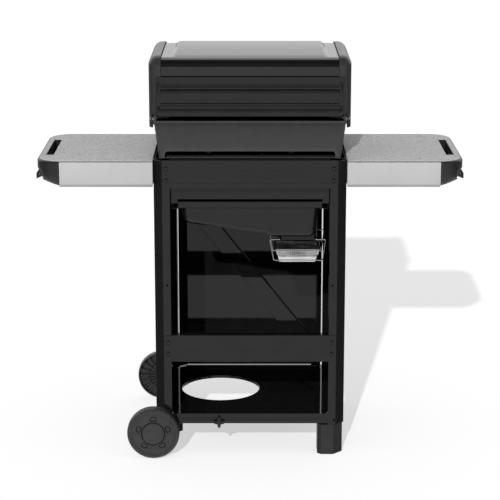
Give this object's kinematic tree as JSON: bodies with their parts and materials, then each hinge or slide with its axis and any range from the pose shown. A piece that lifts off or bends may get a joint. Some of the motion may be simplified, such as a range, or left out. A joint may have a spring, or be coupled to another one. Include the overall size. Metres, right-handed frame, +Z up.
{
  "type": "gas barbecue grill",
  "caption": "Gas barbecue grill on a wheeled open-backed cart with a hinged lid, fixed side tables, a door, a sliding grease tray and a catch pan.",
  "frame": {"origin": "centre of the bounding box base, on the ground", "axes": "+Z up, -Y the front where the user stands, +X the user's right"},
  "size_m": [1.245, 0.683, 1.195],
  "materials": {
    "black_paint": "satin",
    "enamel": "gloss",
    "cast_black": "satin",
    "table_metal": "satin",
    "black_plastic": "matt",
    "wheel_plastic": "matt",
    "stainless": "brushed",
    "brass": "satin",
    "aluminium": "satin",
    "pan_foil": "bright",
    "chrome_wire": "polished",
    "cast_iron": "matt",
    "dial": "satin"
  },
  "bodies": {
    "root": {"front_left_post": "black_paint", "front_right_post": "black_paint", "rear_left_post": "black_paint", "rear_right_post": "black_paint", "left_side_panel": "black_paint", "right_side_panel": "black_paint", "rear_upper_beam": "black_paint", "rear_middle_beam": "black_paint", "front_crossbar": "black_paint", "bottom_shelf": "black_paint", "front_wheel_bracket": "black_paint", "rear_wheel_bracket": "black_paint", "control_panel": "black_paint", "tray_frame": "black_paint", "cookbox": "cast_black", "left_table": "table_metal", "right_table": "table_metal", "front_foot": "black_plastic", "rear_foot": "black_plastic", "left_table_end_cap": "black_plastic", "right_table_end_cap": "black_plastic", "front_axle": "stainless", "rear_axle": "stainless", "left_lid_pin": "stainless", "right_lid_pin": "stainless", "left_burner": "stainless", "right_burner": "stainless", "left_flame_tamer": "stainless", "right_flame_tamer": "stainless", "door_lower_pin": "stainless", "door_upper_pin": "stainless", "left_valve": "brass", "right_valve": "brass", "gas_manifold": "aluminium", "warming_rack": "chrome_wire", "left_grate": "cast_iron", "right_grate": "cast_iron"},
    "lid": {"lid_shroud": "enamel", "lid_left_end_cap": "cast_black", "lid_right_end_cap": "cast_black", "lid_back_panel": "black_paint", "lid_handle": "stainless", "thermometer": "dial"},
    "needle": {"thermometer_needle": "black_plastic"},
    "door": {"door_panel": "black_paint", "door_brace": "black_paint"},
    "tray": {"grease_tray": "black_paint"},
    "pan": {"catch_pan_holder": "chrome_wire", "catch_pan": "pan_foil"},
    "front_wheel": {"front_wheel": "wheel_plastic", "front_hub_cap": "black_plastic"},
    "rear_wheel": {"rear_wheel": "wheel_plastic", "rear_hub_cap": "black_plastic"},
    "left_rotor": {"left_valve_rotor": "brass"},
    "right_rotor": {"right_valve_rotor": "brass"},
    "left_knob": {"left_knob": "black_plastic"},
    "right_knob": {"right_knob": "black_plastic"},
    "igniter": {"igniter_button": "black_plastic"},
    "clamp_knob": {"tank_clamp_knob": "black_plastic"},
    "clamp_hook": {"tank_clamp_hook": "stainless"}
  },
  "joints": [
    {"name": "lid_hinge", "type": "hinge", "parent": "root", "child": "lid", "pos_m": [0, 0.262, 1.012], "axis": [-1, 0, 0], "range_deg": [0, 80]},
    {"name": "needle_turn", "type": "hinge", "parent": "lid", "child": "needle", "pos_m": [0, -0.21843, 1.084], "axis": [0, 0.9925, -0.1222], "range_deg": [0, 270]},
    {"name": "door_hinge", "type": "hinge", "parent": "root", "child": "door", "pos_m": [-0.2205, -0.195, 0.456], "axis": [0, 0, -1], "range_deg": [0, 100]},
    {"name": "grease_tray_slide", "type": "slide", "parent": "root", "child": "tray", "axis": [0, 1, 0], "range_m": [0, 0.3]},
    {"name": "pan_holder_slide", "type": "slide", "parent": "tray", "child": "pan", "axis": [0, 1, 0], "range_m": [0, 0.1]},
    {"name": "front_wheel_spin", "type": "hinge", "parent": "root", "child": "front_wheel", "pos_m": [0.2872, -0.2285, 0.0776], "axis": [0, 1, 0], "continuous": true},
    {"name": "rear_wheel_spin", "type": "hinge", "parent": "root", "child": "rear_wheel", "pos_m": [0.2872, 0.3255, 0.0776], "axis": [0, 1, 0], "continuous": true},
    {"name": "left_knob_turn", "type": "hinge", "parent": "root", "child": "left_rotor", "pos_m": [-0.12, -0.27925, 0.871], "axis": [0, -0.9717, 0.2361], "range_deg": [0, 170]},
    {"name": "left_knob_push", "type": "slide", "parent": "left_rotor", "child": "left_knob", "axis": [0, 0.9717, -0.2361], "range_m": [0, 0.004], "stiffness_N_per_m": 1500},
    {"name": "right_knob_turn", "type": "hinge", "parent": "root", "child": "right_rotor", "pos_m": [0.12, -0.27925, 0.871], "axis": [0, -0.9717, 0.2361], "range_deg": [0, 170]},
    {"name": "right_knob_push", "type": "slide", "parent": "right_rotor", "child": "right_knob", "axis": [0, 0.9717, -0.2361], "range_m": [0, 0.004], "stiffness_N_per_m": 1500},
    {"name": "igniter_push", "type": "slide", "parent": "root", "child": "igniter", "axis": [0, 0.9717, -0.2361], "range_m": [0, 0.004], "stiffness_N_per_m": 900},
    {"name": "clamp_turn", "type": "hinge", "parent": "root", "child": "clamp_knob", "pos_m": [0.092, 0.311, 0.104], "axis": [0, 1, 0], "range_deg": [0, 1440]},
    {"name": "clamp_slide", "type": "slide", "parent": "root", "child": "clamp_hook", "axis": [0, 1, 0], "range_m": [0, 0.008]}
  ],
  "couplings": [
    {"joint": "clamp_turn", "follows": "clamp_slide", "rad_per_m": 3141.6}
  ]
}
